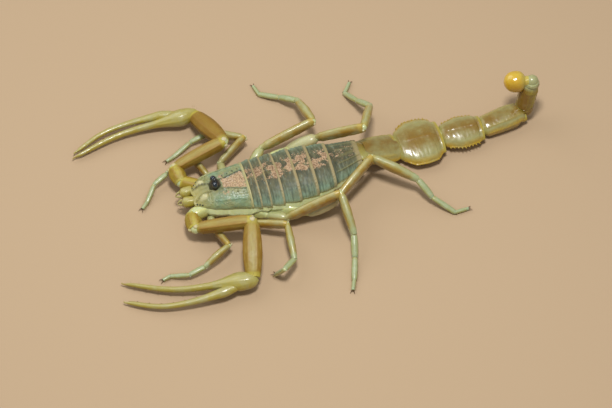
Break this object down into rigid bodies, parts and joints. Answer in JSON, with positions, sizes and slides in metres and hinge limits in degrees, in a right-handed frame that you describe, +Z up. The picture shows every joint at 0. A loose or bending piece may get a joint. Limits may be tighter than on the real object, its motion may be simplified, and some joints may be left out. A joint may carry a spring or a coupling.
{
  "type": "disc-tailed desert scorpion",
  "caption": "Life-size desert scorpion at rest, pincers forward, with a flat disc-shaped tail segment and the sting raised and tucked under.",
  "frame": {"origin": "on the floor under the middle of the bounding box", "axes": "+Z up, head towards -X, the animal's right side towards +Y"},
  "size_m": [0.098, 0.0564, 0.0135],
  "materials": {
    "back_plate": "satin, slightly waxy dark grey-green cuticle with pale rear margins and sand dust",
    "carapace_plate": "satin translucent grey-green cuticle, yellower in front",
    "amber_cuticle": "waxy gloss, translucent amber-olive cuticle with darker keels",
    "pincer_cuticle": "waxy gloss, yellow-olive cuticle",
    "leg_cuticle": "waxy gloss, pale olive cuticle with amber edges",
    "foot_cuticle": "satin pale green cuticle with fine bristles and brown claws",
    "tail_cuticle": "waxy gloss, translucent olive-amber cuticle with yellow rims",
    "sting_cuticle": "high gloss yellow-amber bulb with a dark needle tip",
    "eye_lens": "high gloss blue-black lens"
  },
  "bodies": {
    "root": {"leg_l1_femur": "amber_cuticle", "leg_l1_patella": "leg_cuticle", "leg_l1_tibia": "foot_cuticle", "leg_l1_tarsus": "foot_cuticle", "leg_l2_femur": "amber_cuticle", "leg_l2_patella": "leg_cuticle", "leg_l2_tibia": "foot_cuticle", "leg_l2_tarsus": "foot_cuticle", "leg_l3_femur": "amber_cuticle", "leg_l3_patella": "leg_cuticle", "leg_l3_tibia": "foot_cuticle", "leg_l3_tarsus": "foot_cuticle", "leg_l4_femur": "amber_cuticle", "leg_l4_patella": "leg_cuticle", "leg_l4_tibia": "foot_cuticle", "leg_l4_tarsus": "foot_cuticle", "leg_r1_femur": "amber_cuticle", "leg_r1_patella": "leg_cuticle", "leg_r1_tibia": "foot_cuticle", "leg_r1_tarsus": "foot_cuticle", "leg_r2_femur": "amber_cuticle", "leg_r2_patella": "leg_cuticle", "leg_r2_tibia": "foot_cuticle", "leg_r2_tarsus": "foot_cuticle", "leg_r3_femur": "amber_cuticle", "leg_r3_patella": "leg_cuticle", "leg_r3_tibia": "foot_cuticle", "leg_r3_tarsus": "foot_cuticle", "leg_r4_femur": "amber_cuticle", "leg_r4_patella": "leg_cuticle", "leg_r4_tibia": "foot_cuticle", "leg_r4_tarsus": "foot_cuticle", "pedipalp_l_trochanter": "amber_cuticle", "pedipalp_l_femur": "amber_cuticle", "pedipalp_l_patella": "amber_cuticle", "pedipalp_l_hand": "pincer_cuticle", "pedipalp_l_finger": "pincer_cuticle", "pedipalp_r_trochanter": "amber_cuticle", "pedipalp_r_femur": "amber_cuticle", "pedipalp_r_patella": "amber_cuticle", "pedipalp_r_hand": "pincer_cuticle", "pedipalp_r_finger": "pincer_cuticle", "eye_median_l": "eye_lens", "eye_median_r": "eye_lens", "prosoma": "carapace_plate", "chelicera_l": "pincer_cuticle", "chelicera_r": "pincer_cuticle", "mesosoma_1": "back_plate", "mesosoma_2": "back_plate", "mesosoma_3": "back_plate", "mesosoma_4": "back_plate", "mesosoma_5": "back_plate", "mesosoma_6": "back_plate", "mesosoma_7": "back_plate", "metasoma_1": "tail_cuticle", "metasoma_2": "tail_cuticle", "metasoma_3": "tail_cuticle", "metasoma_4": "tail_cuticle", "metasoma_5": "tail_cuticle", "telson": "sting_cuticle"}
  },
  "joints": []
}
